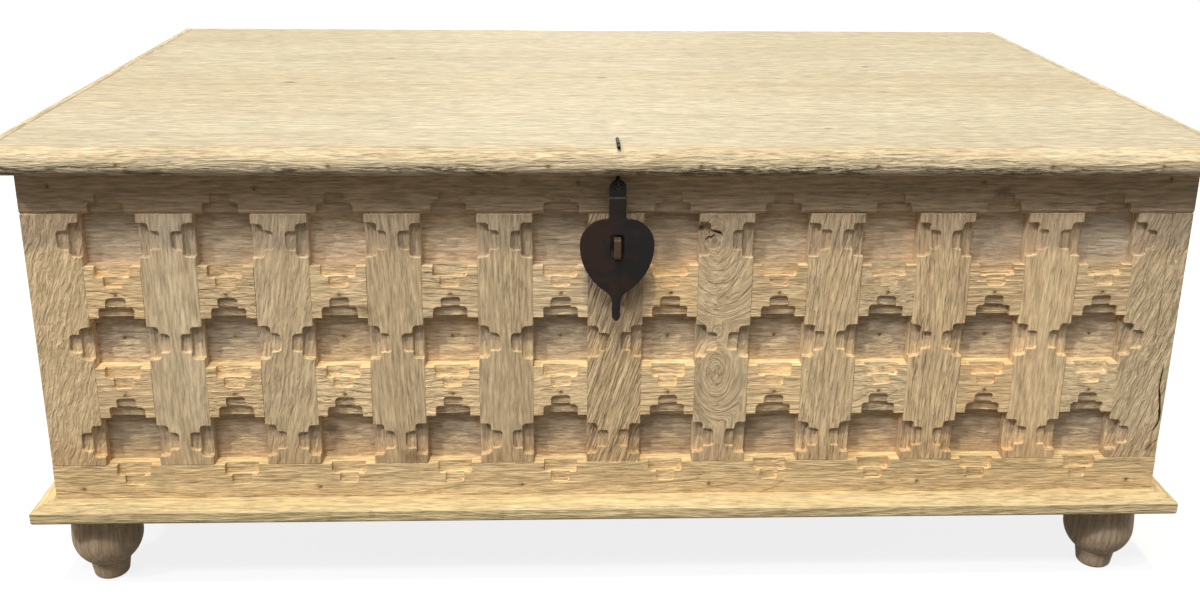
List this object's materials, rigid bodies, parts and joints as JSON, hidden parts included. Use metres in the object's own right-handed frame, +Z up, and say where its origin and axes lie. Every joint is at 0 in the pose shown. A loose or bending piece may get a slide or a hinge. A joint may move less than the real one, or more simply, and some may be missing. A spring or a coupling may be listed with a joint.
{
  "type": "storage coffee table",
  "caption": "Low trunk-shaped coffee table of pale bleached wood: carved lattice front, hinged lid over a storage chest, iron leaf hasp and staple, base moulding and turned feet.",
  "frame": {"origin": "on the floor, under the middle of the lid", "axes": "+X to the right along the carved front, +Y to the back, +Z up"},
  "size_m": [1.15, 0.7, 0.4654],
  "materials": {
    "carved_wood": "bleached, brushed along the grain",
    "lid_wood": "bleached, brushed along the grain",
    "panel_wood": "bleached, brushed along the grain",
    "inner_wood": "bleached, brushed along the grain",
    "plinth_wood": "bleached, brushed along the grain",
    "foot_wood": "bleached, brushed along the grain",
    "hasp_iron": "dark, lightly rusted",
    "staple_iron": "dark, lightly rusted",
    "hinge_iron": "dark, lightly rusted",
    "screw_iron": "dark, lightly rusted",
    "nail_iron": "dark, lightly rusted",
    "pin_steel": "plain"
  },
  "bodies": {
    "chest": {"back_left_corner_post": "inner_wood", "back_left_foot": "foot_wood", "back_panel": "panel_wood", "back_plinth": "plinth_wood", "back_right_corner_post": "inner_wood", "back_right_foot": "foot_wood", "bottom_panel": "inner_wood", "front_backing_panel": "panel_wood", "front_bottom_rail": "carved_wood", "front_left_corner_post": "inner_wood", "front_left_foot": "foot_wood", "front_nails": "nail_iron", "front_plinth": "plinth_wood", "front_right_corner_post": "inner_wood", "front_right_foot": "foot_wood", "front_stile_01": "carved_wood", "front_stile_02": "carved_wood", "front_stile_03": "carved_wood", "front_stile_04": "carved_wood", "front_stile_05": "carved_wood", "front_stile_06": "carved_wood", "front_stile_07": "carved_wood", "front_stile_08": "carved_wood", "front_stile_09": "carved_wood", "front_stile_10": "carved_wood", "front_stile_11": "carved_wood", "front_top_rail": "carved_wood", "hasp_staple": "staple_iron", "hinge_chest_screws": "screw_iron", "lattice_blocks_1": "carved_wood", "lattice_blocks_2": "carved_wood", "left_hinge_chest_leaf": "hinge_iron", "left_hinge_pin": "pin_steel", "left_plinth": "plinth_wood", "left_side_panel": "panel_wood", "right_hinge_chest_leaf": "hinge_iron", "right_hinge_pin": "pin_steel", "right_plinth": "plinth_wood", "right_side_panel": "panel_wood"},
    "lid": {"batten_screws": "screw_iron", "hasp_split_pin": "hasp_iron", "hinge_lid_screws": "screw_iron", "left_hinge_lid_leaf": "hinge_iron", "lid_back_nosing": "lid_wood", "lid_board_1": "lid_wood", "lid_board_2": "lid_wood", "lid_board_3": "lid_wood", "lid_board_4": "lid_wood", "lid_board_5": "lid_wood", "lid_board_6": "lid_wood", "lid_front_nosing": "lid_wood", "lid_left_batten": "inner_wood", "lid_left_nosing": "lid_wood", "lid_right_batten": "inner_wood", "lid_right_nosing": "lid_wood", "nosing_nails": "nail_iron", "right_hinge_lid_leaf": "hinge_iron"},
    "hasp": {"hasp": "hasp_iron"}
  },
  "joints": [
    {"name": "lid_hinge", "type": "hinge", "parent": "chest", "child": "lid", "pos_m": [0, 0.3253, 0.4317], "axis": [-1, 0, 0], "range_deg": [0, 105]},
    {"name": "hasp_swing", "type": "hinge", "parent": "lid", "child": "hasp", "pos_m": [0, -0.3345, 0.4294], "axis": [-1, 0, 0], "range_deg": [0, 100]}
  ]
}
